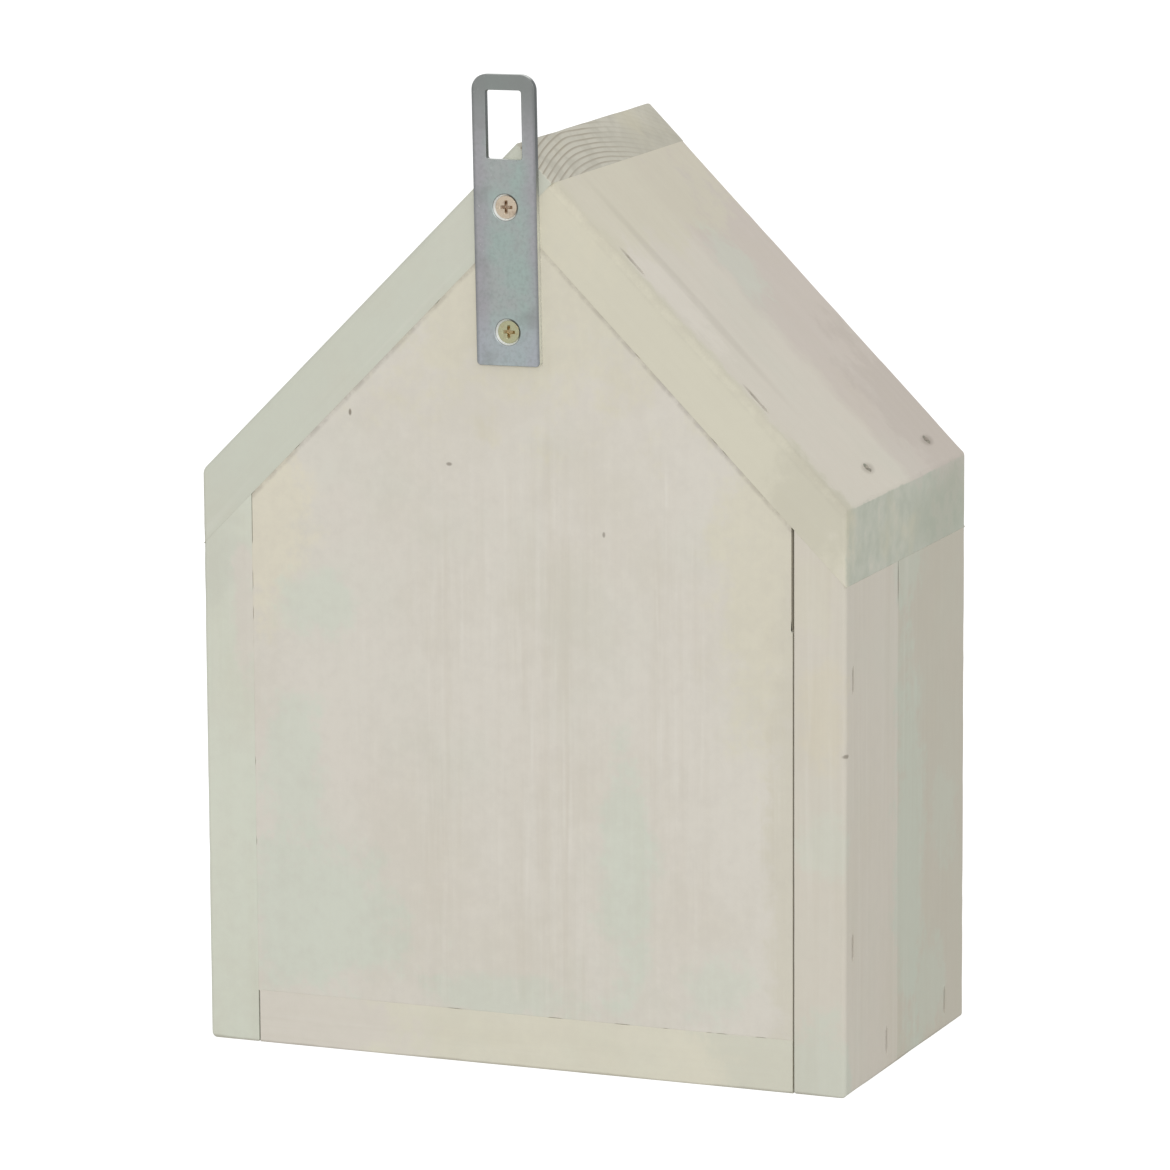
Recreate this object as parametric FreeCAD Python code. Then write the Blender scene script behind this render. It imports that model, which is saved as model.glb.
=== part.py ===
import FreeCAD, Part
import math
import os
import random

# A house-shaped bee hotel: a box of softwood boards with a 45 degree roof, a steel plate to hang it by,
# and an open front packed with bamboo canes. The nest side faces -Y, the back faces +Y, +Z is up, and the
# origin is the middle of the footprint on the base plane. All lengths are in millimetres.

# The box
house_width = 200.0
house_depth = 103.0
eave_height = 171.0
roof_pitch = math.radians(45.0)
side_thickness = 15.7
base_thickness = 15.7
roof_thickness = 15.7
panel_thickness = 12.0
arris = 1.0

# The gaps that show as dark lines round the base board and the back panel
base_end_gap = 0.4
panel_left_gap = 0.8
panel_right_gap = 0.2
panel_roof_gap = 0.2
panel_base_gap = 0.15

# The hanger plate, screwed on a little off centre and off plumb
plate_width = 19.4
plate_length = 83.6
plate_thickness = 2.0
plate_top_corner = 4.5
plate_foot_corner = 1.2
plate_rise = 19.6
plate_off_centre = 2.3
plate_tilt = 0.8
slot_width = 11.0
slot_height = 19.8
slot_corner = 0.8
slot_border = 4.5
upper_screw_drop = 38.0
screw_spacing = 35.9

# The countersunk screws
screw_cover = 1.3
screw_head_diameter = 6.6
screw_shank_diameter = 3.0
screw_point = 3.0
screw_hole_diameter = 3.8
countersink_diameter = 8.0
recess_span = 4.0
recess_foot = 1.6
recess_width = 0.9
recess_depth = 1.3

# The nails and staples, driven a little below the surface
nail_bite = 17.8
nail_diameter = 1.6
nail_point = 2.5
nail_head_diameter = 2.4
nail_head_height = 0.8
staple_crown = 6.2
staple_bite = 10.3
staple_wire = 1.2
fastener_sink = 0.5
fastener_fit = 0.05

# Where the nails and staples are
rear_fixing_inset = 35.0
front_fixing_inset = 17.0
eave_nail_outset = 1.5
base_staple_rise = 1.0
low_staple_height = 43.0
high_staple_drop = 50.0
ridge_staple_distance = 34.0
eave_staple_distance = 28.5

# The canes, in kinds that run in even steps from the thinnest to the thickest, and how they are laid
cane_kind_count = 7
thinnest_cane = 10.0
thickest_cane = 22.0
narrowest_bore = 4.8
widest_bore = 10.2
filler_kinds = 2
cane_recess = 10.7
cane_trim = 3.0
cane_play = 0.3
stacking_step_count = 40
stacking_seed = 25

# What follows from the sizes above
slope = math.tan(roof_pitch)
roof_drop = roof_thickness / math.cos(roof_pitch)
half_width = house_width / 2
inner_half = half_width - side_thickness
apex_height = eave_height + half_width * slope
inner_apex = apex_height - roof_drop
front = -house_depth / 2
back = house_depth / 2
panel_front = back - panel_thickness
fixing_rows = (back - rear_fixing_inset, front + front_fixing_inset)
panel_row = back - panel_thickness / 2
nail_length = roof_drop + nail_bite
staple_leg = max(side_thickness, roof_thickness) + staple_bite
beyond = 1.0

upright = FreeCAD.Vector(0, 0, 1)
backward = FreeCAD.Vector(0, 1, 0)


def board(outline):
    """A board as deep as the house, with its end shape in XZ and every edge eased."""
    return eased(prism(outline, front, back))


def prism(outline, near, far):
    """A solid with its end shape in XZ that runs along Y from near to far."""
    corners = [FreeCAD.Vector(x, near, z) for x, z in outline]
    face = Part.Face(Part.makePolygon(corners + corners[:1]))
    return face.extrude(FreeCAD.Vector(0, far - near, 0))


def eased(solid):
    """The solid with its sharp edges sanded round."""
    return solid.makeFillet(arris, solid.Edges)


def turned(profile):
    """A round solid from a profile of (radius, height) points, about the Z axis."""
    corners = [FreeCAD.Vector(radius, 0, height) for radius, height in profile]
    face = Part.Face(Part.makePolygon(corners + corners[:1]))
    return face.revolve(FreeCAD.Vector(0, 0, 0), upright, 360)


def seated(fastener, spot, outward, along):
    """A fastener made along -Z with its surface at 0, moved to a spot on a board."""
    moved = fastener.copy()
    turn = FreeCAD.Rotation(along, FreeCAD.Vector(), outward, "ZXY")
    moved.Placement = FreeCAD.Placement(spot, turn)
    return moved


def nail(fit, top):
    """A round-headed nail, or the hole that it sits in."""
    head = nail_head_diameter / 2 + fit
    shank = nail_diameter / 2 + fit
    neck = -fastener_sink - nail_head_height - fit
    tip = -fastener_sink - nail_length - fit
    return turned([(0, top), (head, top), (head, neck), (shank, neck), (shank, tip + nail_point), (0, tip)])


def staple(fit, top):
    """A wire staple with its crown along X, or the slit that it sits in."""
    outer = staple_crown / 2 + fit
    inner = staple_crown / 2 - staple_wire - fit
    underside = -fastener_sink - staple_wire - fit
    tip = -fastener_sink - staple_leg - fit
    thick = staple_wire / 2 + fit
    outline = [(-outer, top), (outer, top), (outer, tip), (inner, tip), (inner, underside)]
    outline += [(-inner, underside), (-inner, tip), (-outer, tip)]
    return prism(outline, -thick, thick)


def slope_point(distance, side, row):
    """A point on a roof slope at a distance from the ridge line, side +1 or -1."""
    return FreeCAD.Vector(side * distance, row, apex_height - distance * slope)


def slope_outward(side):
    return FreeCAD.Vector(side * math.sin(roof_pitch), 0, math.cos(roof_pitch))


def slope_down(side):
    return FreeCAD.Vector(side * math.cos(roof_pitch), 0, -math.sin(roof_pitch))


def fixings(make, places):
    """The fasteners at these places as one group, and the holes to cut for them."""
    pieces = [seated(make(0, -fastener_sink), *place) for place in places]
    holes = [seated(make(fastener_fit, beyond), *place) for place in places]
    return Part.makeCompound(pieces), holes


# Nails and staples: two rows of nails in each eave and in the ridge, and staples into the base and panel
eave_nail_distance = half_width - side_thickness / 2 + eave_nail_outset
eave_nails, eave_nail_holes = fixings(nail, [
    (slope_point(eave_nail_distance, side, row), upright, backward)
    for side in (-1, 1) for row in fixing_rows
])
ridge_nail_distance = roof_thickness / 2 * math.cos(roof_pitch)
ridge_nails, ridge_nail_holes = fixings(nail, [
    (slope_point(ridge_nail_distance, 1, row), slope_outward(1), backward) for row in fixing_rows
])
base_staple_height = base_thickness / 2 + base_staple_rise
base_staples, base_staple_holes = fixings(staple, [
    (FreeCAD.Vector(side * half_width, row, base_staple_height), FreeCAD.Vector(side, 0, 0), upright)
    for side in (-1, 1) for row in fixing_rows
])
side_staple_heights = (low_staple_height, eave_height - high_staple_drop)
side_staples, side_staple_holes = fixings(staple, [
    (FreeCAD.Vector(side * half_width, panel_row, height), FreeCAD.Vector(side, 0, 0), upright)
    for side in (-1, 1) for height in side_staple_heights
])
roof_staple_distances = (ridge_staple_distance, half_width - eave_staple_distance)
roof_staples, roof_staple_holes = fixings(staple, [
    (slope_point(distance, side, panel_row), slope_outward(side), slope_down(side))
    for side in (-1, 1) for distance in roof_staple_distances
])
side_holes = eave_nail_holes + base_staple_holes + side_staple_holes
roof_holes = eave_nail_holes + ridge_nail_holes + roof_staple_holes

# Hanger plate: made flat about the point midway between its screws, then tilted and set against the back
plate_top = upper_screw_drop + screw_spacing / 2
plate_foot = plate_top - plate_length
plate_middle = FreeCAD.Vector(plate_off_centre, back + plate_thickness, apex_height + plate_rise - plate_top)
plate_place = FreeCAD.Placement(plate_middle, FreeCAD.Rotation(backward, plate_tilt))
screw_local = {"upper": screw_spacing / 2, "lower": -screw_spacing / 2}
screw_spots = {name: plate_place.multVec(FreeCAD.Vector(0, 0, z)) for name, z in screw_local.items()}


def rounded_plate(width, foot, top, near, far, foot_corner, top_corner):
    """An upright plate between two depths, with its corners rounded by one radius below and one above."""
    half = width / 2
    corners = [
        (half - foot_corner, foot + foot_corner, foot_corner, -90),
        (half - top_corner, top - top_corner, top_corner, 0),
        (top_corner - half, top - top_corner, top_corner, 90),
        (foot_corner - half, foot + foot_corner, foot_corner, 180),
    ]
    bends = []
    for x, z, radius, start in corners:
        turns = [math.radians(start + sweep) for sweep in (0, 45, 90)]
        bends.append([
            FreeCAD.Vector(x + radius * math.cos(turn), near, z + radius * math.sin(turn)) for turn in turns
        ])
    edges = []
    for bend, following in zip(bends, bends[1:] + bends[:1]):
        edges.append(Part.Arc(*bend).toShape())
        edges.append(Part.LineSegment(bend[2], following[0]).toShape())
    return Part.Face(Part.Wire(edges)).extrude(FreeCAD.Vector(0, far - near, 0))


def countersink():
    """The cone and hole that a screw head sits in, from the plate's outer face at 0."""
    rim = countersink_diameter / 2
    hole = screw_hole_diameter / 2
    deep = -plate_thickness - countersink_diameter
    return turned([(0, beyond), (rim + beyond, beyond), (hole, hole - rim), (hole, deep), (0, deep)])


def screw(fit):
    """A countersunk screw without its recess, or the hole that it bites into."""
    head = screw_head_diameter / 2 + fit
    shank = screw_shank_diameter / 2 + fit
    top = (screw_head_diameter - countersink_diameter) / 2 + fastener_fit
    tip = screw_cover - plate_thickness - panel_thickness - fit
    return turned([(0, top), (head, top), (shank, top - head + shank), (shank, tip + screw_point), (0, tip)])


def recessed(solid):
    """A screw with a cross cut into its head, tapering to its foot."""
    top = (screw_head_diameter - countersink_diameter) / 2 + fastener_fit
    floor = top - recess_depth
    arm = [(-recess_span / 2, beyond), (recess_span / 2, beyond), (recess_span / 2, top)]
    arm += [(recess_foot / 2, floor), (-recess_foot / 2, floor), (-recess_span / 2, top)]
    blade = prism(arm, -recess_width / 2, recess_width / 2)
    crossing = blade.copy()
    crossing.rotate(FreeCAD.Vector(0, 0, 0), upright, 90)
    return solid.cut(blade.fuse(crossing))


hanger_plate = rounded_plate(
    plate_width, plate_foot, plate_top, -plate_thickness, 0, plate_foot_corner, plate_top_corner
)
slot_top = plate_top - slot_border
slot = rounded_plate(
    slot_width, slot_top - slot_height, slot_top, -plate_thickness - beyond, beyond, slot_corner, slot_corner
)
hanger_plate = hanger_plate.cut(slot)
hanger_plate.Placement = plate_place
hanger_screws = {}
screw_holes = []
for name, spot in screw_spots.items():
    hanger_plate = hanger_plate.cut(seated(countersink(), spot, backward, upright))
    hanger_screws[name] = seated(recessed(screw(0)), spot, backward, upright)
    screw_holes.append(seated(screw(fastener_fit), spot, backward, upright))

# Boards: the sides carry the roof on their bevelled tops, and the base and back panel stand between them
side_outline = [(inner_half, 0), (half_width, 0), (half_width, eave_height - roof_drop)]
side_outline += [(inner_half, eave_height - roof_drop + side_thickness * slope)]
side_right = board(side_outline).cut(side_holes)
side_left = board([(-x, z) for x, z in side_outline]).cut(side_holes)

base_half = inner_half - base_end_gap
base_outline = [(-base_half, 0), (base_half, 0), (base_half, base_thickness), (-base_half, base_thickness)]
base = board(base_outline).cut(base_staple_holes)

# The long roof board runs past the ridge, and its end lies flush in the slope of the short one
ridge_lap = roof_thickness / (2 * math.sin(roof_pitch))
lap_height = apex_height - ridge_lap * slope
long_outline = [(half_width, eave_height - roof_drop), (half_width, eave_height), (0, apex_height)]
long_outline += [(-ridge_lap, lap_height)]
short_outline = [(-half_width, eave_height - roof_drop), (-half_width, eave_height), (-ridge_lap, lap_height)]
short_outline += [(0, inner_apex)]
roof_long = board(long_outline).cut(roof_holes + screw_holes)
roof_short = board(short_outline).cut(roof_holes + screw_holes)

panel_left = -inner_half + panel_left_gap
panel_right = inner_half - panel_right_gap
panel_apex = inner_apex - panel_roof_gap / math.cos(roof_pitch)
panel_outline = [(panel_left, base_thickness + panel_base_gap), (panel_right, base_thickness + panel_base_gap)]
panel_outline += [(panel_right, panel_apex - panel_right * slope), (0, panel_apex)]
panel_outline += [(panel_left, panel_apex + panel_left * slope)]
panel = eased(prism(panel_outline, panel_front, back)).cut(side_staple_holes + roof_staple_holes + screw_holes)


# Canes: first up both sides and along the base, then each in the lowest hollow that it fits into, until not
# even the thinnest goes in
def graded(first, last):
    """A size for each kind of cane, in even steps from the first to the last."""
    return [first + (last - first) * kind / (cane_kind_count - 1) for kind in range(cane_kind_count)]


cane_diameters = graded(thinnest_cane, thickest_cane)
cane_bores = graded(narrowest_bore, widest_bore)
stacking_step = thinnest_cane / stacking_step_count


def seat_height(x, kind, laid):
    """The lowest free height for a cane's axis at x, on the base, on other canes or in a gap among them."""
    radius = cane_diameters[kind] / 2
    spans = []
    for other_x, other_z, other_kind in laid:
        reach = radius + cane_diameters[other_kind] / 2 + cane_play
        across = abs(x - other_x)
        if across < reach:
            lift = math.sqrt(reach**2 - across**2)
            spans.append((other_z - lift, other_z + lift))
    height = base_thickness + radius + cane_play
    for low, high in sorted(spans):
        if low <= height:
            height = max(height, high)
    return height


def lay(kind, places, laid):
    """Lay a cane at the lowest of these places that has room under the roof, and say whether one had."""
    reach = cane_diameters[kind] / 2 + cane_play
    seats = [(seat_height(x, kind, laid), x) for x in places]
    free = [(z, x) for z, x in seats if z + reach / math.cos(roof_pitch) <= inner_apex - abs(x) * slope]
    if free:
        z, x = min(free)
        laid.append((x, z, kind))
    return bool(free)


def wall_place(kind):
    """How far from the middle a cane's axis is when the cane lies against a side."""
    return inner_half - cane_diameters[kind] / 2 - cane_play


def places_across(kind):
    """The places from side to side where a cane is tried."""
    count = int(2 * wall_place(kind) / stacking_step) + 1
    return [step * stacking_step - wall_place(kind) for step in range(count)]


def stack_canes():
    """All canes as (x, z, kind). One that finds no room is swapped for the next thinner kind."""
    chance = random.Random(stacking_seed)
    kinds = range(cane_kind_count)
    base_row = chance.sample(kinds, len(kinds))
    laid = []
    for side, corner in ((-1, base_row[0]), (1, base_row[-1])):
        others = [kind for kind in kinds if kind != corner]
        for kind in [corner] + chance.sample(others, len(others)):
            lay(kind, [side * wall_place(kind)], laid)
    for kind in base_row[1:-1]:
        lay(kind, places_across(kind), laid)
    fitting = set(kinds)
    while fitting:
        kind = chance.choice(kinds[filler_kinds:])
        while kind >= 0 and not (kind in fitting and lay(kind, places_across(kind), laid)):
            fitting.discard(kind)
            kind -= 1
    return laid


def cane(x, z, kind, length):
    """One cane, from its back end against the panel to its cut front end."""
    end = FreeCAD.Vector(x, panel_front - cane_play, z)
    tube = Part.makeCylinder(cane_diameters[kind] / 2, length, end, -backward)
    return tube.cut(Part.makeCylinder(cane_bores[kind] / 2, length, end, -backward))


cane_length = panel_front - cane_play - front - cane_recess
trimming = random.Random(stacking_seed)
canes = [[] for kind in range(cane_kind_count)]
for x, z, kind in stack_canes():
    canes[kind].append(cane(x, z, kind, cane_length - trimming.uniform(0, cane_trim)))

parts = {
    "side_board_left": side_left,
    "side_board_right": side_right,
    "base_board": base,
    "roof_board_long": roof_long,
    "roof_board_short": roof_short,
    "back_panel": panel,
    "hanger_plate": hanger_plate,
    "hanger_screw_upper": hanger_screws["upper"],
    "hanger_screw_lower": hanger_screws["lower"],
    "eave_nails": eave_nails,
    "ridge_nails": ridge_nails,
    "base_staples": base_staples,
    "panel_side_staples": side_staples,
    "panel_roof_staples": roof_staples,
}
for number, group in enumerate(canes, start=1):
    parts[f"bamboo_canes_size_{number}"] = Part.makeCompound(group)

os.makedirs("parts", exist_ok=True)
for name, shape in parts.items():
    shape.exportStep("parts/" + name + ".step")
    print(name, len(shape.Solids), "solids", round(shape.Volume), "mm3")
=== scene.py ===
import math
import random

import bmesh
import bpy
import numpy as np
from mathutils import Matrix, Vector, noise


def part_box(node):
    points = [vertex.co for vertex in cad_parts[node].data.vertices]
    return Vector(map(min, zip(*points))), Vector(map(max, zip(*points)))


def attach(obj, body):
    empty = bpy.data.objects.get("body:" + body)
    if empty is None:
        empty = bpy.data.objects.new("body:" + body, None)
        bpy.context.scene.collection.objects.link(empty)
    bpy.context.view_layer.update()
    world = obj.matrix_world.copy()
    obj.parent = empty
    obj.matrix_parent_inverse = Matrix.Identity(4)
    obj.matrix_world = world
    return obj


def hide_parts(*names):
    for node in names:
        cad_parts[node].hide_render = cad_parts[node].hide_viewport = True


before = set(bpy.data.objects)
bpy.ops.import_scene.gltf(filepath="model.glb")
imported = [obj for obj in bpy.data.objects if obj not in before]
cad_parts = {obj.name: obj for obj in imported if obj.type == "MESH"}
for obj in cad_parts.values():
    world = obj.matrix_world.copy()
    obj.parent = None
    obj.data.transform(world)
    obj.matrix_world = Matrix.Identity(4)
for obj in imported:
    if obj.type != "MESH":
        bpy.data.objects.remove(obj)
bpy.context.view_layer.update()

# Side boards. Two upright boards of planed softwood with the grain running up, bevelled at the top to carry
# the roof. The house was brushed with a thin grey-white wash once it was nailed together, and the arrises
# that a hand can reach were sanded round, while those in the joints stayed sharp.
mm = 0.001
roof_pitch = math.radians(45)
roof_thickness = 15.7 * mm
eave_height = 171 * mm
sanded = 1.2 * mm
joint = 0.05 * mm
sharpest_bend = 0.02 * mm
wear_depth = 0.4 * mm
wear_patch = 9 * mm
wear_grain = 2.5 * mm
fine_wear = 0.6
outline_step = 5 * mm
length_step = 9 * mm
arris_margin = 0.5 * mm
weld_distance = 0.002 * mm
same_point = 0.001 * mm

right_low, right_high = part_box("side_board_right")
half_width = right_high.x
inner_half = right_low.x
front = right_low.y
back = right_high.y
slope = math.tan(roof_pitch)
roof_drop = roof_thickness / math.cos(roof_pitch)


def outline(corners, insets, spacing=outline_step, bend_steps=4):
    """The end shape of a board with each edge moved in by its inset, as a list of points. A corner is (x, z,
    radius), and edge n starts at corner n. A point is its place, its normal's angle, the two edges that it
    lies between, its share of the second, and the radius of its bend."""
    count = len(corners)
    spots = [np.array(corner[:2]) for corner in corners]
    ways = []
    for index in range(count):
        way = spots[(index + 1) % count] - spots[index]
        ways.append(way / np.linalg.norm(way))
    squares = [np.array((way[1], -way[0])) for way in ways]
    moved = []
    for index in range(count):
        gone = spots[index] - squares[index - 1] * insets[index - 1]
        coming = spots[index] - squares[index] * insets[index]
        along = np.dot(coming - gone, squares[index]) / np.dot(ways[index - 1], squares[index])
        moved.append(gone + ways[index - 1] * along)
    bends = []
    for index, (_, _, radius) in enumerate(corners):
        left = max(radius - max(insets[index - 1], insets[index]), sharpest_bend)
        heading = math.atan2(*ways[index - 1][::-1])
        turn = (math.atan2(*ways[index][::-1]) - heading + math.pi) % (2 * math.pi) - math.pi
        centre = moved[index] - ways[index - 1] * left * math.tan(turn / 2) - squares[index - 1] * left
        angles = [heading - math.pi / 2 + turn * step / bend_steps for step in range(bend_steps + 1)]
        arc = [centre + left * np.array((math.cos(angle), math.sin(angle))) for angle in angles]
        bends.append(list(zip(arc, angles)))
    points = []
    for index, (_, _, radius) in enumerate(corners):
        for step, (spot, angle) in enumerate(bends[index]):
            points.append((spot, angle, (index - 1) % count, index, step / bend_steps, radius))
        start, angle = bends[index][-1]
        stop = bends[(index + 1) % count][0][0]
        steps = max(2, round(np.linalg.norm(spots[(index + 1) % count] - spots[index]) / spacing))
        for step in range(1, steps):
            points.append((start + (stop - start) * step / steps, angle, index, index, 0, 0))
    return points


def worn(place, normal, softness, nicks):
    """A point of an arris after handling: rubbed back unevenly, and dented where a nick is."""
    rub = max(0, noise.noise(place / wear_patch) + fine_wear * noise.noise(place / wear_grain))
    depth = wear_depth * rub
    for spot, size, deep in nicks:
        depth += deep * math.exp(-((place - Vector(spot)).length / size) ** 2)
    return place - normal * depth * softness


def skin(mesh, rings, capped=True):
    """Faces from each ring of points to the next, and over both ends where it is capped."""
    for ring, following in zip(rings, rings[1:]):
        for corners in zip(ring, following, following[1:] + following[:1], ring[1:] + ring[:1]):
            mesh.faces.new(corners)
    if capped:
        mesh.faces.new(rings[0])
        mesh.faces.new(rings[-1][::-1])


def finished(mesh, name):
    """The mesh of a piece, with its faces turned outward."""
    bmesh.ops.recalc_face_normals(mesh, faces=mesh.faces)
    made = bpy.data.meshes.new(name)
    mesh.to_mesh(made)
    mesh.free()
    return made


def board_mesh(name, corners, near, far, nicks=(), swell=(), spacing=outline_step, bend_steps=4):
    """A board from near to far along Y. A corner is (x, z, radius, near arris, far arris), with the arrises
    of the edge that starts there. swell is (depth from the far end, how far each point stands out there)."""
    corner_shape = [corner[:3] for corner in corners]
    near_arrises = [corner[3] for corner in corners]
    far_arrises = [corner[4] for corner in corners]
    angles = [math.radians(90) * step / bend_steps for step in range(bend_steps + 1)]
    inner_near = near + max(near_arrises) + arris_margin
    inner_far = far - max(far_arrises + [depth for depth, _ in swell]) - arris_margin
    count = max(2, round((inner_far - inner_near) / length_step))
    stations = [("near", angle) for angle in reversed(angles)]
    for step in range(count + 1):
        stations.append(("between", inner_near + (inner_far - inner_near) * step / count))
    stations += [("swollen", row) for row in reversed(swell)]
    stations += [("far", angle) for angle in angles]
    mesh = bmesh.new()
    rings = []
    for kind, value in stations:
        arrises = near_arrises if kind == "near" else far_arrises
        insets = [0] * len(corners)
        if kind in ("near", "far"):
            insets = [arris * (1 - math.cos(value)) for arris in arrises]
        points = outline(corner_shape, insets, spacing, bend_steps)
        ring = []
        for number, (spot, angle, one, two, share, radius) in enumerate(points):
            outward = Vector((math.cos(angle), 0, math.sin(angle)))
            place = Vector((spot[0], 0, spot[1]))
            bend = min(1, radius / sanded) * math.sin(math.pi * share)
            if kind == "between":
                place.y = value
                normal = outward
                softness = bend
            elif kind == "swollen":
                place = place + outward * value[1][number]
                place.y = far - value[0]
                normal = outward
                softness = 0
            else:
                arris = arrises[one] * (1 - share) + arrises[two] * share
                toward = -1 if kind == "near" else 1
                place.y = (near if kind == "near" else far) - toward * arris * (1 - math.sin(value))
                normal = outward * math.cos(value) + Vector((0, toward * math.sin(value), 0))
                softness = max(min(1, arris / sanded) * math.sin(2 * value), bend * math.cos(value))
            ring.append(mesh.verts.new(worn(place, normal, softness, nicks)))
        rings.append(ring)
    skin(mesh, rings)
    bmesh.ops.remove_doubles(mesh, verts=mesh.verts, dist=weld_distance)
    return finished(mesh, name)


def solids_of(node):
    """The separate solids of a CAD node, each as an array of its points."""
    mesh = bmesh.new()
    mesh.from_mesh(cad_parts[node].data)
    bmesh.ops.remove_doubles(mesh, verts=mesh.verts, dist=same_point)
    waiting = set(mesh.verts)
    solids = []
    while waiting:
        reached = [waiting.pop()]
        points = []
        while reached:
            point = reached.pop()
            points.append(tuple(point.co))
            for edge in point.link_edges:
                other = edge.other_vert(point)
                if other in waiting:
                    waiting.discard(other)
                    reached.append(other)
        solids.append(np.array(sorted(points)))
    mesh.free()
    return sorted(solids, key=lambda points: tuple(points.mean(axis=0)))


slit_half_length = 4.4 * mm
slit_half_breadth = 0.75 * mm
slit_tip = 0.1 * mm
pit_depth = 1.8 * mm
pit_profile = ((0.4, 1.15), (-0.35, 0.95), (-1, 0.85))
fastener_sink = 0.5 * mm
head_flatness = 0.05 * mm


def pit(shape, spot, outward, along, depth):
    """A cutter for a slit or a nail hole: a shape in (along, across) sunk below the surface at a spot."""
    across = outward.cross(along)
    mesh = bmesh.new()
    rings = []
    for rise, widening in pit_profile:
        lift = outward * (depth * rise)
        ring = []
        for length, breadth in shape:
            place = spot + along * length * widening + across * breadth * widening + lift
            ring.append(mesh.verts.new(place))
        rings.append(ring)
    skin(mesh, rings)
    return finished(mesh, "pit")


def heads(node, outward_of):
    """For each fastener of a node: its side of the house, the top of its head and the lift to the surface."""
    for points in solids_of(node):
        side = 1 if points[:, 0].mean() > 0 else -1
        outward = outward_of(side)
        heights = points @ np.array(outward)
        top = points[heights > heights.max() - head_flatness]
        yield side, Vector(top.mean(axis=0)), outward * fastener_sink


def slits(node, outward_of, along_of):
    """The torn slits that the staples of a node lie in, a little longer than their crowns."""
    long, broad = slit_half_length, slit_half_breadth
    shape = [(-long, slit_tip), (-long * 0.6, -broad * 0.9), (0, -broad), (long * 0.7, -broad)]
    shape += [(long, -slit_tip), (long * 0.6, broad), (-long * 0.65, broad)]
    made = []
    for side, top, lift in heads(node, outward_of):
        made.append(pit(shape, top + lift, outward_of(side), along_of(side), pit_depth))
    return made


def sideways(side):
    return Vector((side, 0, 0))


def upright(side):
    return Vector((0, 0, 1))


def cut_out(mesh, cutters):
    """The mesh with every cutter taken out of it."""
    joined = bmesh.new()
    for cutter in cutters:
        joined.from_mesh(cutter)
        bpy.data.meshes.remove(cutter)
    tool_mesh = bpy.data.meshes.new("cutters")
    joined.to_mesh(tool_mesh)
    joined.free()
    tool = bpy.data.objects.new("cutters", tool_mesh)
    body = bpy.data.objects.new("uncut", mesh)
    for obj in (tool, body):
        bpy.context.scene.collection.objects.link(obj)
    cutting = body.modifiers.new("cut", "BOOLEAN")
    cutting.operation = "DIFFERENCE"
    cutting.solver = "EXACT"
    cutting.object = tool
    seen = bpy.context.evaluated_depsgraph_get()
    result = bpy.data.meshes.new_from_object(body.evaluated_get(seen))
    for obj in (tool, body):
        old = obj.data
        bpy.data.objects.remove(obj)
        bpy.data.meshes.remove(old)
    return result


def paint(red, green, blue):
    """A colour as it is read on a screen, 0 to 255, in the linear values that a shader takes."""
    channels = [channel / 255 for channel in (red, green, blue)]
    return (*(((channel + 0.055) / 1.055) ** 2.4 for channel in channels), 1.0)


def add(tree, kind, inputs=None, **settings):
    """A shader node with its settings, and its inputs set or linked."""
    made = tree.nodes.new("ShaderNode" + kind)
    for key, value in settings.items():
        setattr(made, key, value)
    for key, value in (inputs or {}).items():
        if isinstance(value, bpy.types.NodeSocket):
            tree.links.new(value, made.inputs[key])
        else:
            made.inputs[key].default_value = value
    return made


def reckon(tree, operation, *values):
    """Arithmetic on numbers."""
    return add(tree, "Math", dict(enumerate(values)), operation=operation).outputs[0]


def reckon_vector(tree, operation, *values):
    """Arithmetic on vectors, as a number for a length or a dot product and else as a vector."""
    made = add(tree, "VectorMath", dict(enumerate(values)), operation=operation)
    return made.outputs["Value" if operation in ("LENGTH", "DOT_PRODUCT") else "Vector"]


def spread(tree, value, low, high, to_low=0.0, to_high=1.0):
    """A value stretched from one range to another, and held there."""
    inputs = {"Value": value, "From Min": low, "From Max": high, "To Min": to_low, "To Max": to_high}
    return add(tree, "MapRange", inputs, interpolation_type="SMOOTHSTEP").outputs["Result"]


def blotches(tree, place, scale, detail=2.0, roughness=0.5):
    """Soft uneven patches, so many to the metre."""
    return add(tree, "TexNoise", {"Vector": place, "Scale": scale, "Detail": detail, "Roughness": roughness})


def blend(tree, share, one, two):
    """One colour going over into another."""
    made = add(tree, "Mix", data_type="RGBA")
    for socket, value in ((made.inputs["Factor"], share), (made.inputs[6], one), (made.inputs[7], two)):
        if isinstance(value, bpy.types.NodeSocket):
            tree.links.new(value, socket)
        else:
            socket.default_value = value
    return made.outputs[2]


def tinge(tree, under, over, value, low, high, most=1.0):
    """A colour with another over it where a value goes from low to high, and how far that covers it."""
    return blend(tree, spread(tree, value, low, high, 0.0, most), under, over)


border_starts = 2.35
border_ends = 3.05


def outness(tree, here, middle, reach):
    """How far out from a middle a place is, where 1 is the border of an oval round it."""
    offset = reckon_vector(tree, "SUBTRACT", here, middle)
    return reckon_vector(tree, "LENGTH", reckon_vector(tree, "DIVIDE", offset, reach))


def within(tree, here, middle, reach, ragged):
    """1 inside an oval round a middle and 0 outside it, with a ragged border."""
    frayed = reckon(tree, "ADD", outness(tree, here, middle, reach), ragged)
    return spread(tree, frayed, border_ends, border_starts)


def new_finish(name):
    """A new material, with its tree and its shader."""
    material = bpy.data.materials.new(name)
    material.use_nodes = True
    tree = material.node_tree
    return material, tree, tree.nodes["Principled BSDF"]


cream = paint(214, 208, 183)
rosy = paint(219, 207, 197)
mossy = paint(203, 209, 194)
chalk = paint(226, 222, 212)
thin_wash = paint(190, 184, 174)
bare_wood = paint(172, 156, 128)
grime_and_shade = paint(112, 102, 88)

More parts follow.
